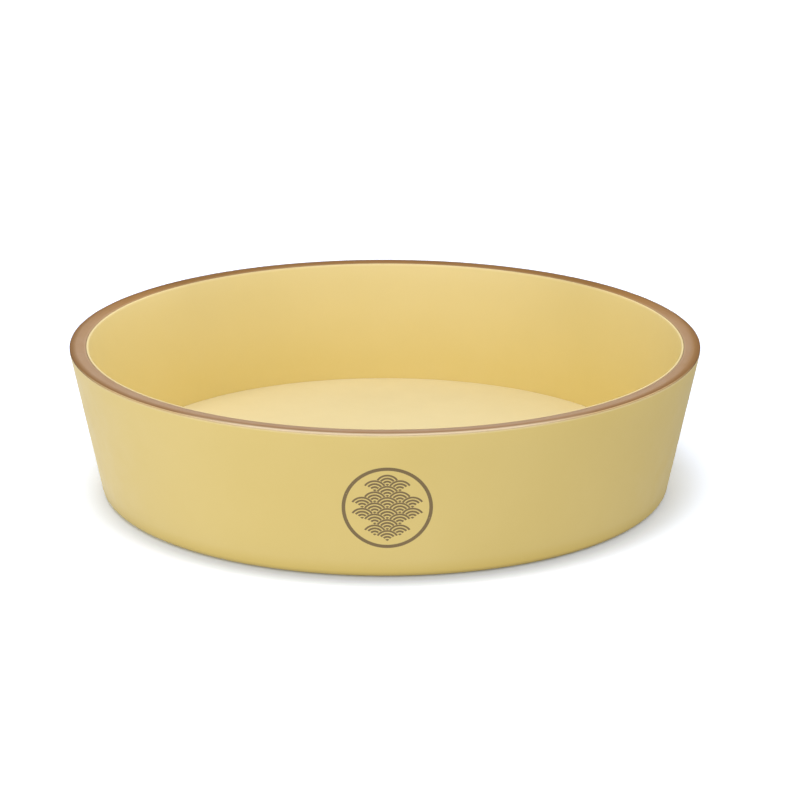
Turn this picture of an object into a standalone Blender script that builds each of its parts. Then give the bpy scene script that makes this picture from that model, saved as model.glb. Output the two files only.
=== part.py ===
"""Sushi rice tub: a wide, low tub with a double wall, a crowned rim ring and a flat floor."""

import math

import bpy

MM = 0.001

# The tub as a whole
WALL_HEIGHT = 141.0 * MM     # table to the top edge of the outer skin
RIM_RADIUS = 300.0 * MM      # outer face of the wall at that height
BASE_RADIUS = 271.3 * MM     # the same face carried down to the table
WALL = 18.0 * MM             # through the wall, measured level
FLOOR_HEIGHT = 25.0 * MM     # table to the floor inside
FACETS = 88                  # round the circumference

# Skins and panels
OUTER_SKIN = 3.0 * MM
INNER_SKIN = 2.0 * MM
FLOOR_PANEL = 4.0 * MM
CLEARANCE = 0.3 * MM         # between any two neighbouring pieces

# Foot and underside
FOOT_HEIGHT = 4.0 * MM       # underside above the table inside the foot
FOOT_ROUND = 1.2 * MM
EDGE_ROUND = 7.0 * MM        # where the outer wall turns in under the tub

# Lips, liner and floor
LIP_ROUND = 0.8 * MM         # top edges of both skins
FLANGE = 22.0 * MM           # liner turned in under the floor panel
SEAM_ROUND = 0.5 * MM        # eased edges of the floor panel and inside the ring

# Rim ring and its seat
SEAT_LAND = 1.8 * MM         # level top edge of the outer skin
SEAT_DROP = 2.4 * MM         # bevel inside that edge
RIM_SETBACK = 0.8 * MM       # the ring's edge inside the outer face of the wall
RIM_EDGE = 0.4 * MM          # height of that edge
RIM_ROUND = 0.3 * MM
RIM_CROWN = 0.9 * MM         # rise of the ring's top between its edges
RIM_DEPTH = 9.0 * MM         # ring body below the top of the outer skin
TONGUE_ROOT = 6.5 * MM       # tapered tongue under the ring
TONGUE_TIP = 5.5 * MM
TONGUE_DEPTH = 10.0 * MM

CROWN_STEPS = 6
ROUND_STEPS = 2
EDGE_STEPS = 5
SHARP_ANGLE = math.radians(32.0)

LEAN = (RIM_RADIUS - BASE_RADIUS) / WALL_HEIGHT

# Heights that the pieces share
UNDERSIDE = FOOT_HEIGHT
TRAY = UNDERSIDE + OUTER_SKIN
FOOT_FLOOR = OUTER_SKIN
PANEL_BOTTOM = FLOOR_HEIGHT - FLOOR_PANEL
FLANGE_TOP = PANEL_BOTTOM - CLEARANCE
FLANGE_BOTTOM = FLANGE_TOP - INNER_SKIN
SEAT_BOTTOM = WALL_HEIGHT - SEAT_DROP
RING_SEAT = WALL_HEIGHT + CLEARANCE
RING_EDGE = RING_SEAT + RIM_EDGE
RING_BOTTOM = WALL_HEIGHT - RIM_DEPTH
TONGUE_BOTTOM = RING_BOTTOM - TONGUE_DEPTH
CORE_TOP = RING_BOTTOM - CLEARANCE

# Level distances in from the outer face of the wall
CORE_OUTER = OUTER_SKIN + CLEARANCE
LINER_INNER = WALL
LINER_OUTER = WALL - INNER_SKIN
CORE_INNER = LINER_OUTER - CLEARANCE


def wall_radius(height, inset):
    """Radius at a height of the leaning face that lies a level distance inside the outer one."""
    return BASE_RADIUS + LEAN * height - inset


FOOT_CHANNEL = wall_radius(0.0, CORE_INNER) - CLEARANCE
FOOT_INNER = FOOT_CHANNEL - OUTER_SKIN
FLANGE_INNER = wall_radius(FLANGE_TOP, LINER_INNER) - FLANGE
TONGUE_MIDDLE = wall_radius((RING_BOTTOM + TONGUE_BOTTOM) / 2.0, (CORE_OUTER + CORE_INNER) / 2.0)


def rounded(before, corner, after, radius, steps):
    """Points of the arc that rounds one corner of a section."""
    ax, az = before[0] - corner[0], before[1] - corner[1]
    bx, bz = after[0] - corner[0], after[1] - corner[1]
    a_length = math.hypot(ax, az)
    b_length = math.hypot(bx, bz)
    ax, az = ax / a_length, az / a_length
    bx, bz = bx / b_length, bz / b_length
    half = math.acos(max(-1.0, min(1.0, ax * bx + az * bz))) / 2.0
    mx, mz = ax + bx, az + bz
    m_length = math.hypot(mx, mz)
    reach = radius / math.sin(half)
    cx = corner[0] + mx / m_length * reach
    cz = corner[1] + mz / m_length * reach
    run = radius / math.tan(half)
    start = math.atan2(corner[1] + az * run - cz, corner[0] + ax * run - cx)
    sweep = math.atan2(corner[1] + bz * run - cz, corner[0] + bx * run - cx) - start
    sweep = (sweep + math.pi) % (2.0 * math.pi) - math.pi
    angles = [start + sweep * step / steps for step in range(steps + 1)]
    return [(cx + radius * math.cos(a), cz + radius * math.sin(a)) for a in angles]


def section(corners):
    """Expand corners (radius, height, rounding, steps) into the points of a section."""
    points = []
    last = len(corners) - 1
    for i, corner in enumerate(corners):
        if len(corner) == 2:
            points.append(corner)
            continue
        after = corners[0] if i == last else corners[i + 1]
        points.extend(rounded(corners[i - 1], corner, after, corner[2], corner[3]))
    return points


def crown(inner, outer, edge_height, rise, steps):
    """Points of a shallow arc over a ring, from its inner edge to its outer edge."""
    half = (outer - inner) / 2.0
    radius = (half * half + rise * rise) / (2.0 * rise)
    middle = (inner + outer) / 2.0
    points = []
    for step in range(steps + 1):
        offset = half * (2.0 * step / steps - 1.0)
        drop = radius - math.sqrt(radius * radius - offset * offset)
        points.append((middle + offset, edge_height + rise - drop))
    return points


def material(name, colour, roughness):
    """A plain finish for one piece."""
    made = bpy.data.materials.new(name)
    made.use_nodes = True
    shader = made.node_tree.nodes["Principled BSDF"]
    shader.inputs["Base Color"].default_value = (*colour, 1.0)
    shader.inputs["Roughness"].default_value = roughness
    return made


def turned(name, points, closed, finish, collection):
    """A piece turned about the tub's axis from its section."""
    edges = [(i, i + 1) for i in range(len(points) - 1)]
    if closed:
        edges.append((len(points) - 1, 0))
    mesh = bpy.data.meshes.new(name)
    mesh.from_pydata([(x, 0.0, z) for x, z in points], edges, [])
    piece = bpy.data.objects.new(name, mesh)
    collection.objects.link(piece)
    screw = piece.modifiers.new("turn", "SCREW")
    screw.axis = "Z"
    screw.angle = 2.0 * math.pi
    screw.steps = FACETS
    screw.render_steps = FACETS
    screw.use_merge_vertices = True
    screw.merge_threshold = 0.00005
    bpy.context.view_layer.update()
    graph = bpy.context.evaluated_depsgraph_get()
    solid = bpy.data.meshes.new_from_object(piece.evaluated_get(graph))
    piece.modifiers.clear()
    piece.data = solid
    bpy.data.meshes.remove(mesh)
    solid.name = name
    solid.materials.clear()
    solid.materials.append(finish)
    solid.shade_smooth()
    solid.set_sharp_from_angle(angle=SHARP_ANGLE)
    return piece


def outer_shell():
    """One skin: tray, foot and leaning outer wall with a rounded, bevelled top edge."""
    return section([
        (0.0, TRAY),
        (FOOT_CHANNEL, TRAY),
        (FOOT_CHANNEL, FOOT_FLOOR),
        (wall_radius(FOOT_FLOOR, OUTER_SKIN), FOOT_FLOOR, EDGE_ROUND - OUTER_SKIN, ROUND_STEPS),
        (wall_radius(SEAT_BOTTOM, OUTER_SKIN), SEAT_BOTTOM),
        (wall_radius(WALL_HEIGHT, SEAT_LAND), WALL_HEIGHT),
        (wall_radius(WALL_HEIGHT, 0.0), WALL_HEIGHT, LIP_ROUND, ROUND_STEPS),
        (wall_radius(0.0, 0.0), 0.0, EDGE_ROUND, EDGE_STEPS),
        (FOOT_INNER, 0.0, FOOT_ROUND, ROUND_STEPS),
        (FOOT_INNER, UNDERSIDE, FOOT_ROUND, ROUND_STEPS),
        (0.0, UNDERSIDE),
    ])


def base_core():
    """Insulating disc on the tray, stepped to take the liner's flange."""
    bottom = TRAY + CLEARANCE
    step = FLANGE_BOTTOM - CLEARANCE
    edge = CORE_INNER + CLEARANCE
    return section([
        (0.0, FLANGE_TOP),
        (FLANGE_INNER - CLEARANCE, FLANGE_TOP),
        (FLANGE_INNER - CLEARANCE, step),
        (wall_radius(step, edge), step),
        (wall_radius(bottom, edge), bottom),
        (0.0, bottom),
    ])


def wall_core():
    """Insulating ring between the skins, standing in the foot and grooved for the rim ring."""
    bottom = FOOT_FLOOR + CLEARANCE
    groove_floor = TONGUE_BOTTOM - CLEARANCE
    mouth = TONGUE_ROOT / 2.0 + CLEARANCE
    end = TONGUE_TIP / 2.0 + CLEARANCE
    return section([
        (wall_radius(CORE_TOP, CORE_INNER), CORE_TOP),
        (TONGUE_MIDDLE - mouth, CORE_TOP),
        (TONGUE_MIDDLE - end, groove_floor),
        (TONGUE_MIDDLE + end, groove_floor),
        (TONGUE_MIDDLE + mouth, CORE_TOP),
        (wall_radius(CORE_TOP, CORE_OUTER), CORE_TOP),
        (wall_radius(bottom, CORE_OUTER), bottom, EDGE_ROUND - OUTER_SKIN, ROUND_STEPS),
        (wall_radius(bottom, CORE_INNER), bottom),
    ])


def rim_ring():
    """Crowned ring seated on the outer skin's bevel and keyed into the wall core by a tapered tongue."""
    inner = wall_radius(RING_EDGE, CORE_INNER)
    outer = wall_radius(RING_EDGE, RIM_SETBACK)
    bevel_bottom = SEAT_BOTTOM + CLEARANCE
    top = crown(inner, outer, RING_EDGE, RIM_CROWN, CROWN_STEPS)
    return section([
        (*top[0], SEAM_ROUND, ROUND_STEPS),
        *top[1:-1],
        (*top[-1], RIM_ROUND, ROUND_STEPS),
        (outer, RING_SEAT),
        (wall_radius(RING_SEAT, SEAT_LAND + CLEARANCE), RING_SEAT),
        (wall_radius(bevel_bottom, CORE_OUTER), bevel_bottom),
        (wall_radius(RING_BOTTOM, CORE_OUTER), RING_BOTTOM),
        (TONGUE_MIDDLE + TONGUE_ROOT / 2.0, RING_BOTTOM),
        (TONGUE_MIDDLE + TONGUE_TIP / 2.0, TONGUE_BOTTOM, SEAM_ROUND, ROUND_STEPS),
        (TONGUE_MIDDLE - TONGUE_TIP / 2.0, TONGUE_BOTTOM, SEAM_ROUND, ROUND_STEPS),
        (TONGUE_MIDDLE - TONGUE_ROOT / 2.0, RING_BOTTOM),
        (wall_radius(RING_BOTTOM, CORE_INNER), RING_BOTTOM),
    ])


def inner_liner():
    """Leaning inner skin with a rounded lip level with the ring's edge and a flange turned in below."""
    return section([
        (wall_radius(RING_EDGE, LINER_INNER), RING_EDGE, LIP_ROUND, ROUND_STEPS),
        (wall_radius(RING_EDGE, LINER_OUTER), RING_EDGE, LIP_ROUND, ROUND_STEPS),
        (wall_radius(FLANGE_BOTTOM, LINER_OUTER), FLANGE_BOTTOM),
        (FLANGE_INNER, FLANGE_BOTTOM),
        (FLANGE_INNER, FLANGE_TOP),
        (wall_radius(FLANGE_TOP, LINER_INNER), FLANGE_TOP),
    ])


def floor_panel():
    """Round floor with a leaning edge, lying on the flange and the core."""
    edge = LINER_INNER + CLEARANCE
    return section([
        (0.0, FLOOR_HEIGHT),
        (wall_radius(FLOOR_HEIGHT, edge), FLOOR_HEIGHT, SEAM_ROUND, ROUND_STEPS),
        (wall_radius(PANEL_BOTTOM, edge), PANEL_BOTTOM),
        (0.0, PANEL_BOTTOM),
    ])


def build():
    """Clear the scene and turn every piece of the tub."""
    for old in list(bpy.data.objects):
        bpy.data.objects.remove(old, do_unlink=True)
    tub = bpy.data.collections.new("sushi_rice_tub")
    bpy.context.scene.collection.children.link(tub)
    cream = material("cream_skin", (0.75, 0.57, 0.22), 0.42)
    pale = material("cream_floor", (0.82, 0.66, 0.33), 0.40)
    brown = material("brown_rim", (0.34, 0.19, 0.08), 0.38)
    foam = material("foam_core", (0.80, 0.78, 0.70), 0.85)
    turned("outer_shell", outer_shell(), False, cream, tub)
    turned("base_core", base_core(), False, foam, tub)
    turned("wall_core", wall_core(), True, foam, tub)
    turned("rim_ring", rim_ring(), True, brown, tub)
    turned("inner_liner", inner_liner(), True, cream, tub)
    turned("floor_panel", floor_panel(), False, pale, tub)


build()
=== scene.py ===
import logging
import math
from dataclasses import dataclass, field
from enum import Enum, IntEnum
from typing import ClassVar, Iterable, Mapping, Sequence

import bpy
from mathutils import Matrix, Vector


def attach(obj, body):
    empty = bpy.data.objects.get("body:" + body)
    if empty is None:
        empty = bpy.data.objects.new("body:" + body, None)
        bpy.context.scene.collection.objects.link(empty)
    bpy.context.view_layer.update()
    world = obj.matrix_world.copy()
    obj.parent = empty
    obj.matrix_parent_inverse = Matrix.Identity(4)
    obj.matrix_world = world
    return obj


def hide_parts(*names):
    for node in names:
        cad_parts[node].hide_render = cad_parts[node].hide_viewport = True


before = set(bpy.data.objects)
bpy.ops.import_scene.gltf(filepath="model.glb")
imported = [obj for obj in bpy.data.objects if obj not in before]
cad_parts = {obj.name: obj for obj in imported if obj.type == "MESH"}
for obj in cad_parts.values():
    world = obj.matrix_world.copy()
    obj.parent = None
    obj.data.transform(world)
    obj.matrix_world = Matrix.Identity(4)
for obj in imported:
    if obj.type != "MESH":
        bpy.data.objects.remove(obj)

LOG = logging.getLogger("rice_tub")
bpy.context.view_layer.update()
BODY = "root"
MM = 0.001
MERGE_DISTANCE = 0.01 * MM
SHARP_ANGLE = math.radians(38.0)
FULL_TURN = 2.0 * math.pi
ORIGIN = (0.0, 0.0, 0.0)
UPWARD = (0.0, 0.0, 1.0)
BACKWARD = (0.0, 1.0, 0.0)
LEVEL = (1.0, 1.0, 0.0)
BLACK = (0.0, 0.0, 0.0)
MIX_COLOURS = (6, 7)
MIX_RESULT = 2

Point = tuple[float, float]
Colour = tuple[float, float, float]
Place = tuple[float, float, float]
Socket = bpy.types.NodeSocket
Sockets = Mapping[str, Socket]
Feed = Socket | float | Sequence[float]


class Height(Enum):
    """Levels of the tub above the table that several pieces share, in metres."""

    UNDERSIDE = 4.0 * MM
    TRAY = 7.0 * MM
    PANEL_BOTTOM = 21.0 * MM
    FLOOR = 25.0 * MM
    SKIN_TOP = 141.0 * MM
    RING_SEAT = 141.3 * MM
    RING_EDGE = 141.7 * MM


class Slot(Enum):
    """Material slots of the record."""

    OUTER_SKIN = "outer_skin"
    INNER_SKIN = "inner_skin"
    FLOOR = "floor"
    RIM = "rim"


class Chords(IntEnum):
    """Chords along an arc of a section, by where the arc lies."""

    HIDDEN = 3
    SEAM = 4
    CHANNEL = 5
    LIP = 6
    BASE = 10


@dataclass(frozen=True)
class Wall:
    """The leaning double wall that every turned piece is measured from.

    Attributes:
        rim_radius: outer face at the top of the outer skin.
        base_radius: the same face carried down to the table.
        thickness: through the whole wall, measured level.
        outer_skin: thickness of the outer skin.
        inner_skin: thickness of the liner.
        clearance: open joint between neighbouring pieces.
    """

    rim_radius: float = 300.0 * MM
    base_radius: float = 271.3 * MM
    thickness: float = 18.0 * MM
    outer_skin: float = 3.0 * MM
    inner_skin: float = 2.0 * MM
    clearance: float = 0.3 * MM

    @property
    def lean(self) -> float:
        """Outward travel of the wall for each unit of height."""
        return (self.rim_radius - self.base_radius) / Height.SKIN_TOP.value

    @property
    def core_outer(self) -> float:
        """Level distance from the outer face to what lies behind the outer skin."""
        return self.outer_skin + self.clearance

    @property
    def core_inner(self) -> float:
        """Level distance from the outer face to what lies behind the liner."""
        return self.thickness - self.inner_skin - self.clearance

    def radius(self, height: float, inset: float = 0.0) -> float:
        """Radius of a face of the wall.

        Args:
            height: level above the table.
            inset: level distance inside the outer face.

        Returns:
            The radius at that height.
        """
        return self.base_radius + self.lean * height - inset


class Bench:
    """Modelling by operators, with one object in hand at a time."""

    @staticmethod
    def clear_selection() -> None:
        """Leave edit mode and deselect everything."""
        if bpy.context.object and bpy.context.object.mode != "OBJECT":
            bpy.ops.object.mode_set(mode="OBJECT")
        bpy.ops.object.select_all(action="DESELECT")

    @staticmethod
    def take(piece: bpy.types.Object) -> None:
        """Make one object the only selected and active one.

        Args:
            piece: the object.
        """
        Bench.clear_selection()
        piece.select_set(True)
        bpy.context.view_layer.objects.active = piece

    @staticmethod
    def draw_section(name: str, points: Sequence[Point], closed: bool) -> bpy.types.Object:
        """Draw a section in the XZ plane by extruding one vertex from point to point.

        Args:
            name: name of the new object.
            points: radius and height of each point, in order.
            closed: whether the last point joins the first.

        Returns:
            The object, left in edit mode with all of it selected.
        """
        Bench.clear_selection()
        bpy.ops.mesh.primitive_plane_add(size=MM)
        piece = bpy.context.object
        piece.name = name
        piece.data.name = name
        bpy.ops.object.mode_set(mode="EDIT")
        bpy.ops.mesh.select_all(action="SELECT")
        bpy.ops.mesh.merge(type="CENTER")
        start = Vector((points[0][0], 0.0, points[0][1]))
        bpy.ops.transform.translate(value=start)
        for before, after in zip(points, points[1:]):
            step = (after[0] - before[0], 0.0, after[1] - before[1])
            bpy.ops.mesh.extrude_vertices_move(TRANSFORM_OT_translate={"value": step})
        bpy.ops.mesh.select_all(action="SELECT")
        if closed:
            Bench.join_ends(piece)
            bpy.ops.mesh.select_all(action="SELECT")
        return piece

    @staticmethod
    def join_ends(piece: bpy.types.Object) -> None:
        """Close an open string of edges by an edge between its two ends.

        Args:
            piece: the object, in edit mode.
        """
        bpy.ops.mesh.select_all(action="DESELECT")
        bpy.ops.object.mode_set(mode="OBJECT")
        uses = [0] * len(piece.data.vertices)
        for edge in piece.data.edges:
            for index in edge.vertices:
                uses[index] += 1
        for vertex in piece.data.vertices:
            vertex.select = uses[vertex.index] == 1
        bpy.ops.object.mode_set(mode="EDIT")
        bpy.ops.mesh.edge_face_add()

    @staticmethod
    def turn(name: str, points: Sequence[Point], closed: bool, steps: int) -> bpy.types.Object:
        """Turn a section about the tub's axis into a closed, smooth solid.

        Args:
            name: name of the piece.
            points: the section.
            closed: True for a ring, False for a section that ends on the axis.
            steps: divisions round the circumference.

        Returns:
            The finished object.
        """
        piece = Bench.draw_section(name, points, closed)
        bpy.ops.mesh.spin(steps=steps, angle=FULL_TURN, center=ORIGIN, axis=UPWARD)
        bpy.ops.mesh.select_all(action="SELECT")
        bpy.ops.mesh.remove_doubles(threshold=MERGE_DISTANCE)
        bpy.ops.mesh.normals_make_consistent(inside=False)
        bpy.ops.object.mode_set(mode="OBJECT")
        bpy.ops.object.shade_smooth_by_angle(angle=SHARP_ANGLE)
        return piece

    @staticmethod
    def sweep(name: str, edge: Sequence[Point], angle: float, steps: int) -> bpy.types.Object:
        """Sweep a short edge in the XZ plane round the Y axis into a flat strip.

        Args:
            name: name of the strip.
            edge: the two ends of the edge at the start of the sweep.
            angle: how far it is swept, anticlockwise as seen from the front.
            steps: chords along the sweep.

        Returns:
            The strip.
        """
        strip = Bench.draw_section(name, edge, closed=False)
        bpy.ops.mesh.spin(steps=steps, angle=angle, center=ORIGIN, axis=BACKWARD)
        bpy.ops.mesh.select_all(action="SELECT")
        bpy.ops.mesh.remove_doubles(threshold=MERGE_DISTANCE)
        bpy.ops.object.mode_set(mode="OBJECT")
        return strip

    @staticmethod
    def join(name: str, pieces: Sequence[bpy.types.Object]) -> bpy.types.Object:
        """Join several objects into one.

        Args:
            name: name of the joined object.
            pieces: what is joined.

        Returns:
            The joined object.
        """
        Bench.take(pieces[0])
        for piece in pieces:
            piece.select_set(True)
        bpy.ops.object.join()
        joined = bpy.context.object
        joined.name = name
        joined.data.name = name
        return joined

    @staticmethod
    def copy(piece: bpy.types.Object, step: Sequence[float]) -> bpy.types.Object:
        """Copy an object with a mesh of its own and move the copy's mesh.

        Args:
            piece: what is copied.
            step: how far the copy's mesh is moved.

        Returns:
            The copy.
        """
        Bench.take(piece)
        bpy.ops.object.duplicate(linked=False)
        double = bpy.context.object
        Bench.shift(double, step)
        return double

    @staticmethod
    def shift(piece: bpy.types.Object, step: Sequence[float]) -> None:
        """Move an object's mesh and leave its origin where it is.

        Args:
            piece: the object.
            step: how far its mesh is moved.
        """
        Bench.take(piece)
        bpy.ops.object.mode_set(mode="EDIT")
        bpy.ops.mesh.select_all(action="SELECT")
        bpy.ops.transform.translate(value=step)
        bpy.ops.object.mode_set(mode="OBJECT")

    @staticmethod
    def face_front(piece: bpy.types.Object) -> None:
        """Turn the faces of a flat piece towards the front.

        Args:
            piece: the flat piece.
        """
        Bench.take(piece)
        bpy.ops.object.mode_set(mode="EDIT")
        bpy.ops.mesh.select_all(action="SELECT")
        bpy.ops.mesh.normals_make_consistent(inside=False)
        bpy.ops.object.mode_set(mode="OBJECT")
        for face in piece.data.polygons:
            face.select = face.normal.y > 0.0
        bpy.ops.object.mode_set(mode="EDIT")
        bpy.ops.mesh.flip_normals()
        bpy.ops.object.mode_set(mode="OBJECT")


class Outline:
    """Sections made of corners and arcs."""

    @staticmethod
    def arc(before: Point, corner: Point, after: Point, radius: float, steps: int) -> list[Point]:
        """Round one corner of a section.

        Args:
            before: the point the section comes from.
            corner: the sharp corner.
            after: the point the section goes to.
            radius: radius of the rounding.
            steps: chords along the arc.

        Returns:
            The points of the arc, in order.
        """
        here = Vector(corner)
        back = (Vector(before) - here).normalized()
        ahead = (Vector(after) - here).normalized()
        half = back.angle(ahead) / 2.0
        centre = here + (back + ahead).normalized() * (radius / math.sin(half))
        run = radius / math.tan(half)
        first = here + back * run - centre
        last = here + ahead * run - centre
        sweep = first.angle_signed(last) * -1.0
        start = math.atan2(first.y, first.x)
        turns = [start + sweep * step / steps for step in range(steps + 1)]
        return [(centre.x + radius * math.cos(turn), centre.y + radius * math.sin(turn)) for turn in turns]

    @staticmethod
    def section(corners: Sequence[tuple]) -> list[Point]:
        """Expand corners into points.

        Args:
            corners: (radius, height) for a sharp corner, or (radius, height, rounding, steps).

        Returns:
            The points of the section.
        """
        points: list[Point] = []
        for index, corner in enumerate(corners):
            if len(corner) == 2:
                points.append((corner[0], corner[1]))
                continue
            after = corners[(index + 1) % len(corners)]
            before = corners[index - 1]
            points.extend(Outline.arc(before[:2], corner[:2], after[:2], corner[2], corner[3]))
        return points

    @staticmethod
    def stretch(first: Point, last: Point, count: int) -> list[Point]:
        """Evenly spaced points between two corners, without the corners themselves."""
        shares = [step / (count + 1) for step in range(1, count + 1)]
        return [(first[0] + (last[0] - first[0]) * s, first[1] + (last[1] - first[1]) * s) for s in shares]


class Kind(Enum):
    """Kinds of socket that the shared effects have."""

    VALUE = "NodeSocketFloat"
    COLOUR = "NodeSocketColor"
    VECTOR = "NodeSocketVector"


@dataclass(frozen=True)
class Noise:
    """A noise field.

    Attributes:
        scale: features per metre, where no socket gives them.
        detail: finer octaves.
        roughness: strength of the finer octaves.
    """

    scale: float = 1.0
    detail: float = 2.0
    roughness: float = 0.5


class NodeSheet:
    """A material's, world's or group's node tree, filled from code."""

    def __init__(self, tree: bpy.types.NodeTree) -> None:
        """Start on an emptied tree."""
        self.tree = tree
        self.tree.nodes.clear()

    def add(self, kind: str, **settings: object) -> bpy.types.Node:
        """Add a node.

        Args:
            kind: Blender's node type.
            **settings: attributes to set on it.

        Returns:
            The new node.
        """
        node = self.tree.nodes.new(kind)
        for key, value in settings.items():
            setattr(node, key, value)
        return node

    def link(self, source: Feed, target: Socket) -> None:
        """Join two sockets, or set a constant on the target.

        Args:
            source: an output or a constant.
            target: the input that takes it.
        """
        if isinstance(source, Socket):
            self.tree.links.new(source, target)
        else:
            target.default_value = source

    def noise(self, vector: Socket, kind: Noise, scale: Socket | None = None) -> Socket:
        """Read a noise field.

        Args:
            vector: where it is read.
            kind: the field.
            scale: features per metre, where a socket gives them.

        Returns:
            Its value.
        """
        node = self.add("ShaderNodeTexNoise")
        self.link(vector, node.inputs["Vector"])
        self.link(kind.scale if scale is None else scale, node.inputs["Scale"])
        self.link(kind.detail, node.inputs["Detail"])
        self.link(kind.roughness, node.inputs["Roughness"])
        return node.outputs["Fac"]

    def span(self, value: Socket, levels: Sequence[Feed], to: Sequence[Feed] = (0.0, 1.0)) -> Socket:
        """Map a value from one range to another, clamped.

        Args:
            value: the value.
            levels: the range it comes from.
            to: the range it goes to.

        Returns:
            The result.
        """
        node = self.add("ShaderNodeMapRange")
        self.link(value, node.inputs["Value"])
        for label, level in zip(("From Min", "From Max", "To Min", "To Max"), (*levels, *to)):
            self.link(level, node.inputs[label])
        return node.outputs["Result"]

    def math(self, operation: str, first: Socket, second: Feed) -> Socket:
        """Work out one operation on two values.

        Args:
            operation: Blender's name of the operation.
            first: the first value.
            second: the second value.

        Returns:
            The result.
        """
        node = self.add("ShaderNodeMath", operation=operation)
        self.link(first, node.inputs[0])
        self.link(second, node.inputs[1])
        return node.outputs[0]

    def blend(self, share: Socket, first: Socket | Colour, second: Socket | Colour) -> Socket:
        """Mix two colours, each a socket or fixed.

        Args:
            share: share of the second.
            first: the first colour.
            second: the second colour.

        Returns:
            The mixture.
        """
        node = self.add("ShaderNodeMix", data_type="RGBA")
        self.link(share, node.inputs["Factor"])
        for index, colour in zip(MIX_COLOURS, (first, second)):
            source = colour if isinstance(colour, Socket) else (*colour, 1.0)
            self.link(source, node.inputs[index])
        return node.outputs[MIX_RESULT]

    def mix_shaders(self, share: Socket, first: Socket, second: Socket) -> Socket:
        """Mix two shaders.

        Args:
            share: share of the second.
            first: the first shader.
            second: the second shader.

        Returns:
            The mixed shader.
        """
        node = self.add("ShaderNodeMixShader")
        for index, source in enumerate((share, first, second)):
            self.link(source, node.inputs[index])
        return node.outputs["Shader"]

    def place(self) -> Socket:
        """Object coordinates."""
        return self.add("ShaderNodeTexCoord").outputs["Object"]

    def split(self, place: Socket) -> Sockets:
        """The X, Y and Z of a place.

        Args:
            place: the place.

        Returns:
            The three values by the letters of their axes.
        """
        node = self.add("ShaderNodeSeparateXYZ")
        self.link(place, node.inputs["Vector"])
        return node.outputs

    def radius(self, place: Socket) -> Socket:
        """Distance of a place from the tub's axis.

        Args:
            place: the place.

        Returns:
            The distance, measured level.
        """
        level = self.add("ShaderNodeVectorMath", operation="MULTIPLY")
        self.link(place, level.inputs[0])
        self.link(LEVEL, level.inputs[1])
        length = self.add("ShaderNodeVectorMath", operation="LENGTH")
        self.link(level.outputs["Vector"], length.inputs[0])
        return length.outputs["Value"]


class SharedEffect:
    """A surface effect that several finishes use, kept as one node group."""

    name: ClassVar[str]
    inputs: ClassVar[dict[str, Kind]]
    outputs: ClassVar[dict[str, Kind]]

    def fill(self, sheet: NodeSheet, given: Sockets) -> dict[str, Socket]:
        """The group's outputs, worked out from its inputs."""
        raise NotImplementedError

    def group(self) -> bpy.types.NodeTree:
        """The node group, made on its first use.

        Returns:
            The group.
        """
        made = bpy.data.node_groups.get(self.name)
        if made:
            return made
        made = bpy.data.node_groups.new(self.name, "ShaderNodeTree")
        for direction, sockets in (("INPUT", self.inputs), ("OUTPUT", self.outputs)):
            for label, kind in sockets.items():
                made.interface.new_socket(label, in_out=direction, socket_type=kind.value)
        sheet = NodeSheet(made)
        given = sheet.add("NodeGroupInput").outputs
        result = sheet.add("NodeGroupOutput").inputs
        for label, source in self.fill(sheet, given).items():
            sheet.link(source, result[label])
        return made

    def put(self, sheet: NodeSheet, values: dict[str, Feed]) -> Sockets:
        """Place the effect in a material.

        Args:
            sheet: the material's node tree.
            values: a socket or a constant for each input.

        Returns:
            The effect's outputs.
        """
        node = sheet.add("ShaderNodeGroup", node_tree=self.group())
        for label, value in values.items():
            sheet.link(value, node.inputs[label])
        return node.outputs


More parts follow.
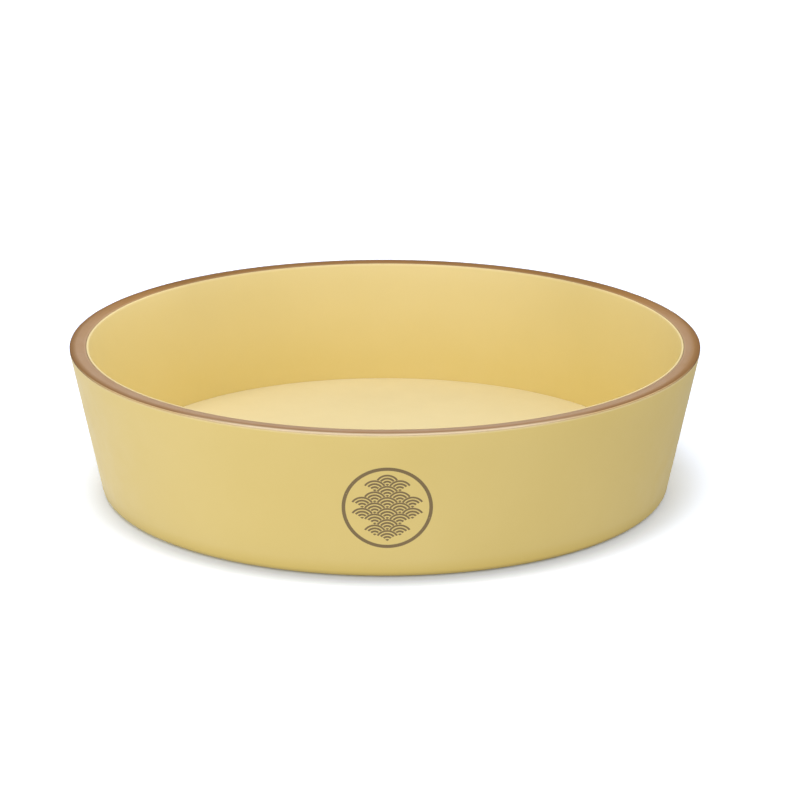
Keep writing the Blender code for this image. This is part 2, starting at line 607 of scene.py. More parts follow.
@dataclass(frozen=True)
class MouldedSurface(SharedEffect):
    """Satin moulded plastic: cloudy colour, patchy gloss and a fine skin.

    Attributes:
        cloud: faint clouds in the colour.
        cloud_levels: noise between which a cloud comes in.
        cloud_share: most that clouds cover.
        fleck: fine flecks in the colour.
        fleck_levels: noise between which a fleck comes in.
        fleck_share: most that flecks cover.
        patch: patches of other gloss.
        patch_levels: noise between which the gloss changes.
        skin: the fine skin.
        swell: slow swells of the surface.
        swell_rise: their height against the skin's.
    """

    name: ClassVar[str] = "moulded_surface"
    inputs: ClassVar[dict[str, Kind]] = {
        "Vector": Kind.VECTOR, "Body": Kind.COLOUR, "Cloud": Kind.COLOUR,
        "Gloss Low": Kind.VALUE, "Gloss High": Kind.VALUE,
        "Cloud Scale": Kind.VALUE, "Grain Scale": Kind.VALUE, "Grain": Kind.VALUE,
    }
    outputs: ClassVar[dict[str, Kind]] = {
        "Color": Kind.COLOUR, "Roughness": Kind.VALUE, "Height": Kind.VALUE,
    }
    cloud: Noise = Noise(detail=4.0, roughness=0.55)
    cloud_levels: Point = (0.35, 0.68)
    cloud_share: float = 0.75
    fleck: Noise = Noise(900.0, 2.0, 0.6)
    fleck_levels: Point = (0.45, 0.75)
    fleck_share: float = 0.25
    patch: Noise = Noise(34.0, 5.0, 0.62)
    patch_levels: Point = (0.3, 0.7)
    skin: Noise = Noise(detail=3.0)
    swell: Noise = Noise(16.0)
    swell_rise: float = 2.0

    def fill(self, sheet: NodeSheet, given: Sockets) -> dict[str, Socket]:
        """Colour, roughness and height of the plastic.

        Args:
            sheet: the group's node tree.
            given: the group's inputs.

        Returns:
            The group's outputs.
        """
        place = given["Vector"]
        cloud = sheet.noise(place, self.cloud, given["Cloud Scale"])
        cloud = sheet.span(cloud, self.cloud_levels, (0.0, self.cloud_share))
        fleck = sheet.span(sheet.noise(place, self.fleck), self.fleck_levels, (0.0, self.fleck_share))
        share = sheet.math("ADD", cloud, fleck)
        gloss = (given["Gloss Low"], given["Gloss High"])
        skin = sheet.noise(place, self.skin, given["Grain Scale"])
        fine = sheet.math("MULTIPLY", skin, given["Grain"])
        slow = sheet.math("MULTIPLY", sheet.noise(place, self.swell), self.swell_rise)
        return {
            "Color": sheet.blend(share, given["Body"], given["Cloud"]),
            "Roughness": sheet.span(sheet.noise(place, self.patch), self.patch_levels, gloss),
            "Height": sheet.math("ADD", fine, slow),
        }


@dataclass(frozen=True)
class RoundStreaks(SharedEffect):
    """Fine streaks that run round the axis.

    Attributes:
        across: streaks per metre of radius.
        along: how often a streak breaks off in a radian.
        lines: the field that the streaks are cut from.
        line_levels: noise between which a streak comes in.
    """

    name: ClassVar[str] = "round_streaks"
    inputs: ClassVar[dict[str, Kind]] = {"Vector": Kind.VECTOR}
    outputs: ClassVar[dict[str, Kind]] = {"Mask": Kind.VALUE}
    across: float = 520.0
    along: float = 4.3
    lines: Noise = Noise(1.0, 3.0, 0.6)
    line_levels: Point = (0.36, 0.66)

    def fill(self, sheet: NodeSheet, given: Sockets) -> dict[str, Socket]:
        """The streaks' mask, from noise on the unrolled ring.

        Args:
            sheet: the group's node tree.
            given: the group's inputs.

        Returns:
            The group's output.
        """
        radius = sheet.radius(given["Vector"])
        parts = sheet.split(given["Vector"])
        unrolled = sheet.add("ShaderNodeCombineXYZ")
        sheet.link(sheet.math("MULTIPLY", radius, self.across), unrolled.inputs["X"])
        for axis, target in (("X", "Y"), ("Y", "Z")):
            bearing = sheet.math("DIVIDE", parts[axis], radius)
            sheet.link(sheet.math("MULTIPLY", bearing, self.along), unrolled.inputs[target])
        lines = sheet.noise(unrolled.outputs["Vector"], self.lines)
        return {"Mask": sheet.span(lines, self.line_levels)}


@dataclass(frozen=True)
class EdgeBand(SharedEffect):
    """An edge of another tone: a mask that rises between two levels and may break up. It masks wear, and
    painted light and shade.

    Attributes:
        breaks: the field that breaks it up.
        break_levels: noise between which it is whole again.
    """

    name: ClassVar[str] = "edge_band"
    inputs: ClassVar[dict[str, Kind]] = {
        "Vector": Kind.VECTOR, "Level": Kind.VALUE, "Start": Kind.VALUE,
        "Full": Kind.VALUE, "Amount": Kind.VALUE, "Solid": Kind.VALUE,
    }
    outputs: ClassVar[dict[str, Kind]] = {"Mask": Kind.VALUE}
    breaks: Noise = Noise(260.0, 5.0, 0.7)
    break_levels: Point = (0.42, 0.66)

    def fill(self, sheet: NodeSheet, given: Sockets) -> dict[str, Socket]:
        """The band's mask.

        Args:
            sheet: the group's node tree.
            given: the group's inputs.

        Returns:
            The group's output.
        """
        rise = sheet.span(given["Level"], (given["Start"], given["Full"]), (0.0, given["Amount"]))
        breaks = sheet.noise(given["Vector"], self.breaks)
        broken = sheet.span(breaks, self.break_levels, (given["Solid"], 1.0))
        return {"Mask": sheet.math("MULTIPLY", rise, broken)}


@dataclass(frozen=True)
class TintedEdge:
    """An edge of a piece that has another tone than the rest, as wear or as painted light and shade.

    Attributes:
        tone: its colour, linear.
        start: level where it begins.
        full: level from which it is full.
        amount: most that it covers.
        solid: share of it that never breaks up.
        dulling: roughness that it adds.
        radial: whether the levels are radii instead of heights.
        front: cosines of the bearing from the front between which it comes in, if it isn't all round; used
            for highlights painted on the front of the rim.
    """

    tone: Colour
    start: float
    full: float
    amount: float
    solid: float = 1.0
    dulling: float = 0.0
    radial: bool = False
    front: Point | None = None

    def share(self, sheet: NodeSheet, place: Socket) -> Socket:
        """How far the edge's tone covers a place.

        Args:
            sheet: the material's node tree.
            place: Object coordinates.

        Returns:
            The share.
        """
        level = sheet.radius(place) if self.radial else sheet.split(place)["Z"]
        mask = EdgeBand().put(sheet, {
            "Vector": place, "Level": level, "Start": self.start, "Full": self.full,
            "Amount": self.amount, "Solid": self.solid,
        })["Mask"]
        if self.front is None:
            return mask
        back = sheet.math("DIVIDE", sheet.split(place)["Y"], sheet.radius(place))
        ahead = sheet.math("MULTIPLY", back, -1.0)
        return sheet.math("MULTIPLY", mask, sheet.span(ahead, self.front))


class Finish:
    """A finish: a node material on Object coordinates, round one Principled BSDF.

    Attributes:
        name: material name.
        bump: strength of the height.
        relief: height of the bump.
        specular: specular level.
    """

    name: str
    bump: float
    relief: float
    specular: float

    def surface(self, sheet: NodeSheet, place: Socket) -> tuple[Socket, Socket, Socket]:
        """Colour, roughness and height over the surface."""
        raise NotImplementedError

    def material(self) -> bpy.types.Material:
        """Build the material.

        Returns:
            The material.
        """
        made = bpy.data.materials.new(self.name)
        made.use_nodes = True
        sheet = NodeSheet(made.node_tree)
        shader = sheet.add("ShaderNodeBsdfPrincipled")
        output = sheet.add("ShaderNodeOutputMaterial")
        sheet.link(shader.outputs["BSDF"], output.inputs["Surface"])
        sheet.link(self.specular, shader.inputs["Specular IOR Level"])
        colour, rough, height = self.surface(sheet, sheet.place())
        sheet.link(colour, shader.inputs["Base Color"])
        sheet.link(rough, shader.inputs["Roughness"])
        bump = sheet.add("ShaderNodeBump")
        sheet.link(self.bump, bump.inputs["Strength"])
        sheet.link(self.relief, bump.inputs["Distance"])
        sheet.link(height, bump.inputs["Height"])
        sheet.link(bump.outputs["Normal"], shader.inputs["Normal"])
        return made


@dataclass(frozen=True)
class SatinPlastic(Finish):
    """A satin moulded plastic.

    Attributes:
        name: material name.
        body: main colour, linear.
        cloud: colour of the faint cloudy patches, linear.
        gloss: lowest and highest roughness.
        cloud_scale: clouds per metre.
        grain_scale: grains per metre.
        grain: share of the fine skin in the height.
        bump: strength of the height.
        relief: height of the bump.
        streak: most that fine streaks round the axis cover.
        streak_tone: their colour, linear.
        streak_dulling: roughness that they add.
        streak_relief: height that they add.
        edges: edges of another tone: wear, and painted light and shade.
        specular: specular level.
    """

    name: str
    body: Colour
    cloud: Colour
    gloss: Point
    cloud_scale: float = 7.0
    grain_scale: float = 1400.0
    grain: float = 0.35
    bump: float = 0.06
    relief: float = MM
    streak: float = 0.0
    streak_tone: Colour = (0.8, 0.65, 0.3)
    streak_dulling: float = 0.1
    streak_relief: float = 0.1
    edges: tuple[TintedEdge, ...] = ()
    specular: float = 0.5

    def surface(self, sheet: NodeSheet, place: Socket) -> tuple[Socket, Socket, Socket]:
        """The moulded surface, then its streaks, then its edges.

        Args:
            sheet: the material's node tree.
            place: Object coordinates.

        Returns:
            Colour, roughness and height.
        """
        moulded = MouldedSurface().put(sheet, {
            "Vector": place, "Body": (*self.body, 1.0), "Cloud": (*self.cloud, 1.0),
            "Gloss Low": self.gloss[0], "Gloss High": self.gloss[1],
            "Cloud Scale": self.cloud_scale, "Grain Scale": self.grain_scale, "Grain": self.grain,
        })
        colour = moulded["Color"]
        rough = moulded["Roughness"]
        height = moulded["Height"]
        if self.streak > 0.0:
            mask = RoundStreaks().put(sheet, {"Vector": place})["Mask"]
            share = sheet.math("MULTIPLY", mask, self.streak)
            colour = sheet.blend(share, colour, self.streak_tone)
            rough = sheet.math("ADD", rough, sheet.math("MULTIPLY", share, self.streak_dulling))
            height = sheet.math("ADD", height, sheet.math("MULTIPLY", share, self.streak_relief))
        for edge in self.edges:
            share = edge.share(sheet, place)
            colour = sheet.blend(share, colour, edge.tone)
            rough = sheet.math("ADD", rough, sheet.math("MULTIPLY", share, edge.dulling))
        return colour, rough, height


@dataclass(frozen=True)
class RigidFoam(Finish):
    """Closed-cell foam of the hidden cores.

    Attributes:
        name: material name.
        cell: colour of the cells, linear.
        wall: colour of the cell walls, linear.
        cell_scale: cells per metre.
        wall_levels: distances from a cell's middle between which its wall comes in.
        gloss: roughness of cells and walls.
        bump: strength of the height.
        relief: height of the bump.
        specular: specular level.
    """

    name: str = "rigid_foam"
    cell: Colour = (0.80, 0.77, 0.66)
    wall: Colour = (0.64, 0.60, 0.48)
    cell_scale: float = 520.0
    wall_levels: Point = (0.25, 0.75)
    gloss: Point = (0.82, 0.95)
    bump: float = 0.3
    relief: float = 0.4 * MM
    specular: float = 0.5

    def surface(self, sheet: NodeSheet, place: Socket) -> tuple[Socket, Socket, Socket]:
        """Cells of about two millimetres and their walls.

        Args:
            sheet: the material's node tree.
            place: Object coordinates.

        Returns:
            Colour, roughness and height.
        """
        cells = sheet.add("ShaderNodeTexVoronoi")
        sheet.link(self.cell_scale, cells.inputs["Scale"])
        sheet.link(place, cells.inputs["Vector"])
        share = sheet.span(cells.outputs["Distance"], self.wall_levels)
        return sheet.blend(share, self.cell, self.wall), sheet.span(share, (0.0, 1.0), self.gloss), share


@dataclass
class TurnedPiece:
    """A piece of the tub that is turned about the axis and stands for one node of the frame.

    Attributes:
        node: the node it replaces.
        slot: the record's material slot; not used.
        finish: its finish.
        closed: whether the section is a ring.
        wall: the wall that it is measured from.
        steps: divisions round the circumference.
        rows: points along a long straight face.
    """

    node: str
    slot: Slot
    finish: Finish
    closed: bool
    wall: Wall = field(default_factory=Wall)
    steps: int = 320
    rows: int = 6

    def points(self) -> list[Point]:
        """The piece's section."""
        raise NotImplementedError

    def build(self) -> bpy.types.Object:
        """Turn the section and set the piece in the frame.

        Returns:
            The finished object.
        """
        piece = Bench.turn(f"{self.node}_skin", self.points(), self.closed, self.steps)
        piece.data.materials.clear()
        piece.data.materials.append(self.finish.material())
        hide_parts(self.node)
        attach(piece, BODY)
        LOG.info("%s: %d faces", piece.name, len(piece.data.polygons))
        return piece


@dataclass(frozen=True)
class Seat:
    """The bevelled top of the outer skin that the rim ring lies on.

    Attributes:
        land: width of the level top edge.
        drop: height of the bevel inside it.
    """

    land: float = 1.8 * MM
    drop: float = 2.4 * MM

    @property
    def bottom(self) -> float:
        """Level where the bevel meets the inside of the skin."""
        return Height.SKIN_TOP.value - self.drop


@dataclass
class OuterShell(TurnedPiece):
    """Outer skin: tray, foot, rounded bottom edge, leaning wall and the rim ring's seat.

    Attributes:
        edge_round: rounding where the wall turns under the tub.
        foot_round: rounding of the foot's inner edges.
        lip_round: rounding of the top edge.
        seat: the ring's seat.
        under_rows: points along the underside.
    """

    edge_round: float = 7.0 * MM
    foot_round: float = 1.2 * MM
    lip_round: float = 1.3 * MM
    seat: Seat = Seat()
    under_rows: int = 5

    def points(self) -> list[Point]:
        """Section from the axis over the top of the wall and back to the axis below.

        Returns:
            The points of the section.
        """
        wall = self.wall
        channel = wall.radius(0.0, wall.core_inner) - wall.clearance
        foot = channel - wall.outer_skin
        top = Height.SKIN_TOP.value
        tray = Height.TRAY.value
        under = Height.UNDERSIDE.value
        skin = wall.outer_skin
        return Outline.section([
            (0.0, tray),
            (channel, tray),
            (channel, skin),
            (wall.radius(skin, skin), skin, self.edge_round - skin, Chords.CHANNEL),
            (wall.radius(self.seat.bottom, skin), self.seat.bottom),
            (wall.radius(top, self.seat.land), top),
            (wall.radius(top), top, self.lip_round, Chords.LIP),
            *Outline.stretch((wall.radius(top), top), (wall.radius(0.0), 0.0), self.rows),
            (wall.radius(0.0), 0.0, self.edge_round, Chords.BASE),
            (foot, 0.0, self.foot_round, Chords.SEAM),
            (foot, under, self.foot_round, Chords.SEAM),
            *Outline.stretch((foot, under), (0.0, under), self.under_rows),
            (0.0, under),
        ])


@dataclass
class RimRing(TurnedPiece):
    """Crowned ring on the outer skin's seat, with the tapered tongue that keys it into the wall.

    Attributes:
        setback: the ring's edge inside the outer face of the wall.
        edge_drop: how far the edge reaches down over the rounded top of the skin.
        crown: rise of the top between its edges.
        crown_steps: chords across the crown.
        edge_round: easing of the outer edge.
        seam_round: easing of the inner edge and the tongue.
        depth: ring body below the top of the outer skin.
        tongue_root: width of the tongue where it leaves the ring.
        tongue_tip: width of the tongue at its end.
        tongue_depth: length of the tongue.
        seat: what the ring lies on.
    """

    setback: float = 0.4 * MM
    edge_drop: float = 0.5 * MM
    crown: float = 0.9 * MM
    crown_steps: int = 14
    edge_round: float = 0.3 * MM
    seam_round: float = 0.2 * MM
    depth: float = 9.0 * MM
    tongue_root: float = 6.5 * MM
    tongue_tip: float = 5.5 * MM
    tongue_depth: float = 10.0 * MM
    seat: Seat = Seat()

    def top_face(self, inner: float, outer: float, edge_height: float) -> list[Point]:
        """Points of the crowned top.

        Args:
            inner: radius of the inner edge.
            outer: radius of the outer edge.
            edge_height: level of both edges.

        Returns:
            The points from the inner to the outer edge.
        """
        half = (outer - inner) / 2.0
        middle = (outer + inner) / 2.0
        radius = (half * half + self.crown * self.crown) / (2.0 * self.crown)
        base = edge_height + self.crown - radius
        steps = self.crown_steps
        offsets = [half * (2.0 * step / steps - 1.0) for step in range(steps + 1)]
        return [(middle + offset, base + math.sqrt(radius ** 2 - offset ** 2)) for offset in offsets]

    def points(self) -> list[Point]:
        """Section over the crown, down the outer flank, round the tongue and up the inner flank.

        Returns:
            The points of the section.
        """
        wall = self.wall
        edge = Height.RING_EDGE.value
        lower = Height.RING_SEAT.value
        bevel = self.seat.bottom + wall.clearance
        bottom = Height.SKIN_TOP.value - self.depth
        tip = bottom - self.tongue_depth
        middle = wall.radius((bottom + tip) / 2.0, (wall.core_outer + wall.core_inner) / 2.0)
        outer = wall.radius(edge, self.setback)
        top = self.top_face(wall.radius(edge, wall.core_inner), outer, edge)
        return Outline.section([
            (*top[0], self.seam_round, Chords.SEAM),
            *top[1:-1],
            (*top[-1], self.edge_round, Chords.SEAM),
            (outer, lower - self.edge_drop),
            (wall.radius(lower, self.seat.land + wall.clearance), lower),
            (wall.radius(bevel, wall.core_outer), bevel),
            (wall.radius(bottom, wall.core_outer), bottom),
            (middle + self.tongue_root / 2.0, bottom),
            (middle + self.tongue_tip / 2.0, tip, self.seam_round, Chords.HIDDEN),
            (middle - self.tongue_tip / 2.0, tip, self.seam_round, Chords.HIDDEN),
            (middle - self.tongue_root / 2.0, bottom),
            (wall.radius(bottom, wall.core_inner), bottom),
        ])


@dataclass
class InnerLiner(TurnedPiece):
    """Inner skin with a rounded lip and a flange under the floor.

    Attributes:
        lip_round: rounding of the lip towards the inside of the tub.
        seam_round: easing of the lip towards the rim ring.
        flange: width turned in under the floor panel.
    """

    lip_round: float = 0.8 * MM
    seam_round: float = 0.3 * MM
    flange: float = 22.0 * MM

    def points(self) -> list[Point]:
        """Section over the lip, down the hidden face, round the flange and up the inner face.

        Returns:
            The points of the section.
        """
        wall = self.wall
        lip = Height.RING_EDGE.value
        flange_top = Height.PANEL_BOTTOM.value - wall.clearance
        flange_bottom = flange_top - wall.inner_skin
        hidden = wall.thickness - wall.inner_skin
        shown = wall.thickness
        flange_inner = wall.radius(flange_top, shown) - self.flange
        foot = (wall.radius(flange_top, shown), flange_top)
        return Outline.section([
            (wall.radius(lip, shown), lip, self.lip_round, Chords.LIP),
            (wall.radius(lip, hidden), lip, self.seam_round, Chords.HIDDEN),
            (wall.radius(flange_bottom, hidden), flange_bottom),
            (flange_inner, flange_bottom),
            (flange_inner, flange_top),
            foot,
            *Outline.stretch(foot, (wall.radius(lip, shown), lip), self.rows),
        ])


@dataclass
class FloorPanel(TurnedPiece):
    """Flat round floor with an eased, leaning edge.

    Attributes:
        edge_round: easing of the upper edge.
    """

    edge_round: float = 0.5 * MM

    def points(self) -> list[Point]:
        """Section from the axis over the top, down the edge and back.

        Returns:
            The points of the section.
        """
        inset = self.wall.thickness + self.wall.clearance
        top = Height.FLOOR.value
        bottom = Height.PANEL_BOTTOM.value
        rim = self.wall.radius(top, inset)
        return Outline.section([
            (0.0, top),
            *Outline.stretch((0.0, top), (rim, top), self.rows),
            (rim, top, self.edge_round, Chords.SEAM),
            (self.wall.radius(bottom, inset), bottom),
            (0.0, bottom),
        ])


@dataclass
class WaveScale:
    """One scale of the wave pattern: a fan and three arcs round the same point, flat in the XZ plane.

    Attributes:
        radius: radius of the outermost arc.
        neighbour: where the scales in front lie, aside and below, as shares of the radius.
        bands: inner and outer radius of each band, as shares of the radius.
        gap: space left towards the scales in front, as a share of the radius.
        shoulder: widest corner of a scale, across and up, as shares of the radius.
        step: longest chord along an arc.
        fewest: fewest chords along an arc.
    """

    radius: float = 11.0 * MM
    neighbour: Point = (1.0, 0.5)
    bands: Sequence[Point] = ((0.01, 0.19), (0.30, 0.47), (0.57, 0.74), (0.84, 1.0))
    gap: float = 0.05
    shoulder: Point = (0.87, 0.49)
    step: float = 0.8 * MM
    fewest: int = 4

    def opening(self, radius: float) -> float:
        """Half angle of an arc that stops short of the two scales in front of it.

        Args:
            radius: radius of the arc.

        Returns:
            The angle from straight up to either end.
        """
        apart = math.hypot(*self.neighbour)
        rest = self.radius * ((1.0 + self.gap) ** 2 - apart ** 2) - radius ** 2 / self.radius
        return math.acos(rest / (2.0 * radius * apart)) - math.atan2(*self.neighbour)

    def build(self) -> bpy.types.Object:
        """Sweep each band from a short radial edge and join them.

        Returns:
            The scale.
        """
        strips = []
        for inner, outer in self.bands:
            half = self.opening(self.radius * outer)
            start = math.pi / 2.0 - half
            edge = [(self.radius * share * math.cos(start), self.radius * share * math.sin(start))
                    for share in (inner, outer)]
            steps = max(self.fewest, math.ceil(2.0 * half * self.radius * outer / self.step))
            strips.append(Bench.sweep("wave_band", edge, 2.0 * half, steps))
        return Bench.join("wave_scale", strips)


@dataclass
class PrintedCrest:
    """Printed ornament on the front of the wall: wave scales inside a plain ring.

    Attributes:
        finish: the ink.
        centre: place on the front of the wall, across and up.
        ring: inner and outer radius of the ring round the scales.
        reach: radius that the scales stay within.
        rows: rows of scales above and below the middle.
        columns: columns of scales on either side of the middle.
        scale: one scale.
        ink: thickness of the ink.
        lift: gap under the ink, as a share of its thickness.
        ring_steps: chords round the ring.
        stand_off: distance in front of the axis that it is laid out at.
    """

    finish: Finish
    centre: Point = (2.0 * MM, 70.0 * MM)
    ring: Point = (36.8 * MM, 40.0 * MM)
    reach: float = 34.2 * MM
    rows: int = 7
    columns: int = 2
    scale: WaveScale = field(default_factory=WaveScale)
    ink: float = 0.08 * MM
    lift: float = 0.2
    ring_steps: int = 128
    stand_off: float = 600.0 * MM

    def places(self) -> list[Point]:
        """Places of the scales that lie wholly inside the ring.

        Returns:
            Across and up from the middle of the ring, for each scale.
        """
        size = self.scale.radius
        wide, high = (size * share for share in self.scale.shoulder)
        aside, below = (size * share for share in self.scale.neighbour)
        found = []
        for row in range(-self.rows, self.rows + 1):
            up = row * below
            for column in range(-self.columns, self.columns + 1):
                across = aside * (2.0 * column + row % 2)
                corners = ((across, up), (across, up + size), (abs(across) + wide, up + high))
                if max(math.hypot(*corner) for corner in corners) < self.reach:
                    found.append((across, up))
        return found

    def build(self, wall_piece: bpy.types.Object) -> bpy.types.Object:
        """Lay the ornament out flat, wrap it on the wall and give it thickness.

        Args:
            wall_piece: the piece it is printed on.

        Returns:
            The finished object.
        """
        pattern = self.scale.build()
        scales = [Bench.copy(pattern, (across, 0.0, up)) for across, up in self.places()]
        bpy.data.objects.remove(pattern, do_unlink=True)
        edge = [(radius, 0.0) for radius in self.ring]
        ring = Bench.sweep("crest_ring", edge, FULL_TURN, self.ring_steps)
        crest = Bench.join("printed_crest", [ring, *scales])
        Bench.shift(crest, (self.centre[0], -self.stand_off, self.centre[1]))
        self.wrap(crest, wall_piece)
        crest.data.materials.clear()
        crest.data.materials.append(self.finish.material())
        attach(crest, BODY)
        LOG.info("%s: %d scales", crest.name, len(scales))
        return crest

    def wrap(self, crest: bpy.types.Object, wall_piece: bpy.types.Object) -> None:
        """Project the flat ornament back on the wall and thicken it outwards.

        Args:
            crest: the flat ornament.
            wall_piece: the piece it is printed on.
        """
        Bench.take(crest)
        press = crest.modifiers.new("press", "SHRINKWRAP")
        press.target = wall_piece
        press.wrap_method = "PROJECT"
        press.use_project_y = True
        press.use_positive_direction = True
        press.use_negative_direction = False
        press.offset = self.lift * self.ink
        body = crest.modifiers.new("ink", "SOLIDIFY")
        body.thickness = self.ink
        body.offset = 1.0
        bpy.ops.object.modifier_apply(modifier=press.name)
        Bench.face_front(crest)
        bpy.ops.object.modifier_apply(modifier=body.name)


@dataclass
class HiddenCores:
    """The two foam cores, shown only where the skins are taken off.

    Attributes:
        nodes: nodes of the frame that are foam.
        finish: their finish.
    """

    nodes: Iterable[str] = ("wall_core", "base_core")
    finish: Finish = RigidFoam()

    def dress(self) -> None:
        """Give both cores the foam finish."""
        foam = self.finish.material()
        for node in self.nodes:
            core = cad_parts[node]
            core.data.materials.clear()
            core.data.materials.append(foam)
            LOG.info("%s: foam", node)


@dataclass(frozen=True)
class SoftPatch:
    """One broad patch of light in the surroundings.

    Attributes:
        towards: direction of its middle.
        strength: brightness there.
        focus: how fast it fades away from its middle.
    """

    towards: Place
    strength: float
    focus: float = 3.0

    def glow(self, sheet: NodeSheet, direction: Socket) -> Socket:
        """Brightness of the patch in a direction.

        Args:
            sheet: the world's node tree.
            direction: unit direction looked in.

        Returns:
            The brightness.
        """
        facing = sheet.add("ShaderNodeVectorMath", operation="DOT_PRODUCT")
        sheet.link(direction, facing.inputs[0])
        sheet.link(Vector(self.towards).normalized(), facing.inputs[1])
        toward = sheet.math("MAXIMUM", facing.outputs["Value"], 0.0)
        return sheet.math("MULTIPLY", sheet.math("POWER", toward, self.focus), self.strength)


@dataclass
class Studio:
    """White floor, soft light from the upper left and the camera.

    Attributes:
        floor_size: side of the table.
        floor_level: its height, a hair below the foot.
        shown: colour of the table for the camera, cool so that the tub's shadow is neutral.
        painted_shadow_depth: depth of the shadow painted on the table close in front of the tub.
        painted_shadow_band: distances from the axis between which that painted shadow fades.
        glow: mean brightness of the table as the tub sees it.
        glow_right: change of the glow towards the right.
        glow_back: change of the glow towards the back.
        bearing_core: distance from the axis within which the changes fade.
        shade: share of the glow that is left under the tub.
        shade_band: distances from the axis between which the glow comes back.
        overhead: strength of the lamp overhead.
        overhead_size: angle that the lamp fills.
        overhead_from: direction it shines from.
        card_place: middle of the bright card behind the tub.
        card_size: its width and height.
        card_power: its power.
        patches: broad patches of light in the surroundings.
        camera_place: camera position.
        camera_pitch: tilt below level, in radians.
        camera_yaw: turn towards +X, in radians.
        camera_roll: turn about the line of sight, in radians.
        lens: focal length, in millimetres.
        sensor: width of the camera's frame, in millimetres.
    """

    floor_size: float = 30.0
    floor_level: float = -0.2 * MM
    shown: Colour = (1.19, 1.28, 1.49)
    painted_shadow_depth: float = 0.48
    painted_shadow_band: Point = (277.0 * MM, 304.0 * MM)
    glow: float = 0.74
    glow_right: float = -0.31
    glow_back: float = 0.02
    bearing_core: float = 50.0 * MM
    shade: float = 0.3
    shade_band: Point = (262.0 * MM, 290.0 * MM)
    overhead: float = 1.51
    overhead_size: float = math.radians(34.0)
    overhead_from: Place = (-0.13, 0.0, 1.0)
    card_place: Place = (-0.02, 0.2, 0.385)
    card_size: Point = (0.67, 0.39)
    card_power: float = 0.83
    patches: Sequence[SoftPatch] = (
        SoftPatch((-0.6, -0.79, 0.35), 1.52),
        SoftPatch((0.05, -1.0, 0.2), 1.33),
        SoftPatch((1.0, 0.0, 0.45), 1.62),
    )
    camera_place: Place = (0.0, -2.8712, 0.9679)
    camera_pitch: float = 0.2997
    camera_yaw: float = 0.0050
    camera_roll: float = 0.0018
    lens: float = 140.81
    sensor: float = 36.0

    def build(self) -> None:
        """Set the floor, the light and the camera."""
        self.lay_floor()
        self.light()
        self.place_camera()
        bpy.context.scene.view_settings.view_transform = "Standard"

    def lay_floor(self) -> None:
        """Lay a white table that keeps the tub's shadow and lights the tub from below."""
        Bench.clear_selection()
        bpy.ops.mesh.primitive_plane_add(size=self.floor_size, location=(0.0, 0.0, self.floor_level))
        floor = bpy.context.object
        floor.name = "studio_floor"
        made = bpy.data.materials.new("studio_floor")
        made.use_nodes = True
        sheet = NodeSheet(made.node_tree)
        across, depth = self.bearings(sheet)
        shown = sheet.add("ShaderNodeBsdfDiffuse")
        sheet.link(self.table_colour(sheet, depth), shown.inputs["Color"])
        glow = sheet.add("ShaderNodeEmission")
        level = sheet.math("ADD", sheet.math("MULTIPLY", across, self.glow_right), self.glow)
        level = sheet.math("ADD", sheet.math("MULTIPLY", depth, self.glow_back), level)
        shade = sheet.span(sheet.radius(sheet.place()), self.shade_band, (self.shade, 1.0))
        sheet.link(sheet.math("MULTIPLY", level, shade), glow.inputs["Strength"])
        camera = sheet.add("ShaderNodeLightPath").outputs["Is Camera Ray"]
        either = sheet.mix_shaders(camera, glow.outputs["Emission"], shown.outputs["BSDF"])
        clear = sheet.add("ShaderNodeBsdfTransparent").outputs["BSDF"]
        below = sheet.add("ShaderNodeNewGeometry").outputs["Backfacing"]
        output = sheet.add("ShaderNodeOutputMaterial")
        sheet.link(sheet.mix_shaders(below, either, clear), output.inputs["Surface"])
        floor.data.materials.append(made)

    def table_colour(self, sheet: NodeSheet, depth: Socket) -> Socket:
        """Colour of the table for the camera, with a shadow painted a little deeper close in front of the
        tub.

        Args:
            sheet: the table's node tree.
            depth: how far back a place lies, from minus one to one.

        Returns:
            The colour.
        """
        close = sheet.span(sheet.radius(sheet.place()), self.painted_shadow_band, (self.painted_shadow_depth, 0.0))
        front = sheet.math("MAXIMUM", sheet.math("MULTIPLY", depth, -1.0), 0.0)
        # Painted shadow: the table darker close in front of the tub.
        painted_shadow_share = sheet.math("MULTIPLY", close, front)
        return sheet.blend(painted_shadow_share, self.shown, BLACK)

    def bearings(self, sheet: NodeSheet) -> tuple[Socket, Socket]:
        """Where a place on the table lies as seen from the tub.

        Args:
            sheet: the table's node tree.

        Returns:
            How far right and how far back it lies, each from minus one to one.
        """
        place = sheet.place()
        reach = sheet.math("ADD", sheet.radius(place), self.bearing_core)
        parts = sheet.split(place)
        return sheet.math("DIVIDE", parts["X"], reach), sheet.math("DIVIDE", parts["Y"], reach)

    def light(self) -> None:
        """Broad soft patches of white light all round, and a soft lamp overhead."""
        world = bpy.data.worlds.new("studio")
        bpy.context.scene.world = world
        world.use_nodes = True
        sheet = NodeSheet(world.node_tree)
        output = sheet.add("ShaderNodeOutputWorld")
        background = sheet.add("ShaderNodeBackground")
        direction = sheet.add("ShaderNodeTexCoord").outputs["Generated"]
        level = self.patches[0].glow(sheet, direction)
        for patch in self.patches[1:]:
            level = sheet.math("ADD", level, patch.glow(sheet, direction))
        path = sheet.add("ShaderNodeLightPath")
        seen = sheet.math("MAXIMUM", path.outputs["Is Camera Ray"], level)
        sheet.link(seen, background.inputs["Strength"])
        sheet.link(background.outputs["Background"], output.inputs["Surface"])
        overhead = bpy.data.lights.new("overhead", "SUN")
        overhead.energy = self.overhead
        overhead.angle = self.overhead_size
        lamp = bpy.data.objects.new("overhead", overhead)
        lamp.rotation_euler = Vector(self.overhead_from).to_track_quat("Z", "Y").to_euler()
        bpy.context.scene.collection.objects.link(lamp)
        self.hang_card()

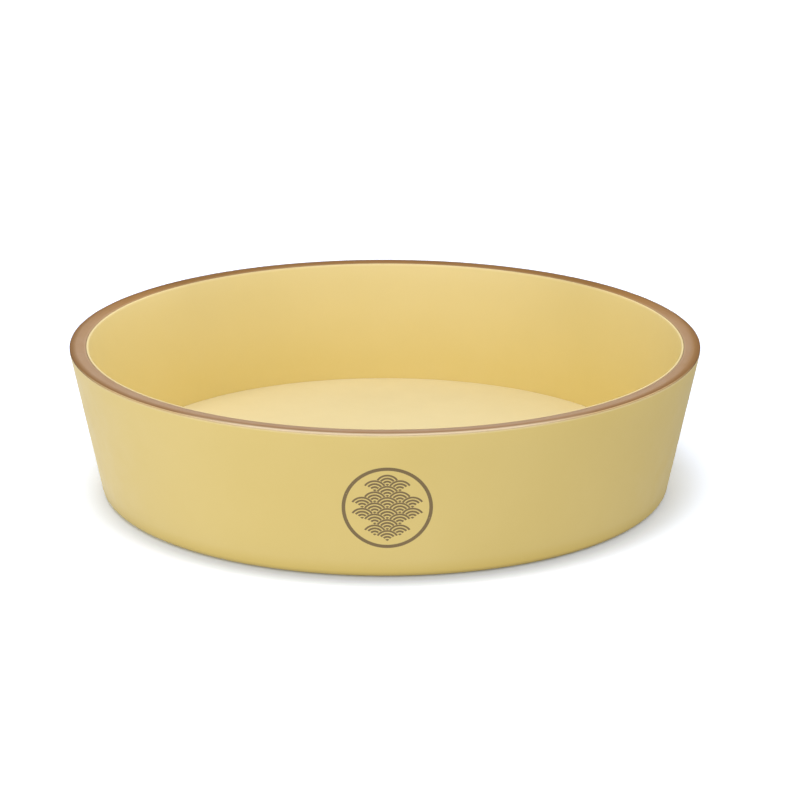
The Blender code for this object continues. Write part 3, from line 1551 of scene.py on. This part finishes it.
    def hang_card(self) -> None:
        """Hang a bright card behind the tub, which the top of the rim mirrors."""
        light = bpy.data.lights.new("card", "AREA")
        light.shape = "RECTANGLE"
        light.size, light.size_y = self.card_size
        light.energy = self.card_power
        card = bpy.data.objects.new("card", light)
        card.location = self.card_place
        card.rotation_euler = Vector(BACKWARD).to_track_quat("Z", "Y").to_euler()
        card.visible_camera = False
        bpy.context.scene.collection.objects.link(card)

    def place_camera(self) -> None:
        """Put the camera at the photograph's viewpoint."""
        data = bpy.data.cameras.new("camera")
        data.sensor_width = self.sensor
        data.lens = self.lens
        camera = bpy.data.objects.new("camera", data)
        camera.location = self.camera_place
        turn = Matrix.Rotation(-self.camera_yaw, 3, "Z")
        tilt = Matrix.Rotation(math.pi / 2.0 - self.camera_pitch, 3, "X")
        roll = Matrix.Rotation(self.camera_roll, 3, "Z")
        camera.rotation_euler = (turn @ tilt @ roll).to_euler()
        bpy.context.scene.collection.objects.link(camera)
        bpy.context.scene.camera = camera


CREAM = SatinPlastic(
    name="cream_skin", body=(0.745, 0.57, 0.188), cloud=(0.77, 0.596, 0.212), gloss=(0.34, 0.46),
    edges=(
        # Painted shade: the outer wall darker and deeper yellow over its lowest 16 mm, towards the table.
        TintedEdge((0.72, 0.52, 0.115), start=16.0 * MM, full=3.0 * MM, amount=0.65),
        TintedEdge((0.62, 0.49, 0.23), start=6.0 * MM, full=0.0, amount=0.3, solid=0.0, dulling=0.2),
        # Painted highlight: a paler top edge of the outer skin, just below the rim ring.
        TintedEdge((0.87, 0.73, 0.45), start=138.6 * MM, full=140.2 * MM, amount=0.5, solid=0.8),
    ))
LINER_CREAM = SatinPlastic(
    name="cream_liner", body=(0.74, 0.574, 0.19), cloud=(0.77, 0.602, 0.22), gloss=(0.34, 0.46),
    edges=(
        # Painted light: the inner wall paler towards the top, where more light falls, and deeper yellow
        # lower down.
        TintedEdge((0.75, 0.62, 0.30), start=45.0 * MM, full=140.0 * MM, amount=0.6),
        # Painted highlight: a paler lip along the top of the liner.
        TintedEdge((0.87, 0.71, 0.44), start=139.2 * MM, full=140.8 * MM, amount=0.3, solid=0.85),
    ))
FLOOR_CREAM = SatinPlastic(
    name="cream_floor", body=(0.71, 0.60, 0.335), cloud=(0.74, 0.63, 0.365), gloss=(0.36, 0.5),
    specular=0.35)
RIM_BROWN = SatinPlastic(
    name="brown_rim", body=(0.325, 0.165, 0.05), cloud=(0.355, 0.184, 0.064), gloss=(0.285, 0.37),
    streak=0.5, streak_tone=(0.395, 0.216, 0.087), bump=0.1,
    edges=(
        # Painted sheen: a lighter inner edge on the top of the rim ring.
        TintedEdge((0.46, 0.3, 0.16), start=287.0 * MM, full=284.8 * MM, amount=0.45, radial=True),
        # Painted shade: the outer part of the ring darker and warmer, where no sheen falls; its added
        # roughness also dulls the real sheen there.
        TintedEdge(
            (0.21, 0.09, 0.012), start=293.5 * MM, full=297.5 * MM, amount=0.75, dulling=0.3, radial=True),
        # Painted shade: a dark line along the ring's outer edge.
        TintedEdge((0.15, 0.065, 0.015), start=298.9 * MM, full=299.4 * MM, amount=0.9, radial=True),
        # Painted highlight: a pale line along the ring's outer edge round the front half.
        TintedEdge(
            (0.74, 0.52, 0.25), start=298.7 * MM, full=299.3 * MM, amount=0.8, radial=True,
            front=(0.25, 0.6)),
        # Painted highlight: a broader paler band at the very front of the ring's outer edge.
        TintedEdge(
            (0.80, 0.65, 0.45), start=296.3 * MM, full=298.6 * MM, amount=0.7, radial=True,
            front=(0.78, 0.92)),
    ))
INK = SatinPlastic(
    name="brown_ink", body=(0.205, 0.142, 0.058), cloud=(0.23, 0.158, 0.068), gloss=(0.42, 0.56))


def main() -> None:
    """Build the tub, dress it and set the studio."""
    logging.basicConfig(level=logging.INFO, format="%(name)s: %(message)s")
    shell = OuterShell("outer_shell", Slot.OUTER_SKIN, CREAM, closed=False).build()
    PrintedCrest(INK).build(shell)
    InnerLiner("inner_liner", Slot.INNER_SKIN, LINER_CREAM, closed=True).build()
    FloorPanel("floor_panel", Slot.FLOOR, FLOOR_CREAM, closed=False).build()
    RimRing("rim_ring", Slot.RIM, RIM_BROWN, closed=True).build()
    HiddenCores().dress()
    Studio().build()


if __name__ == "__main__":
    main()
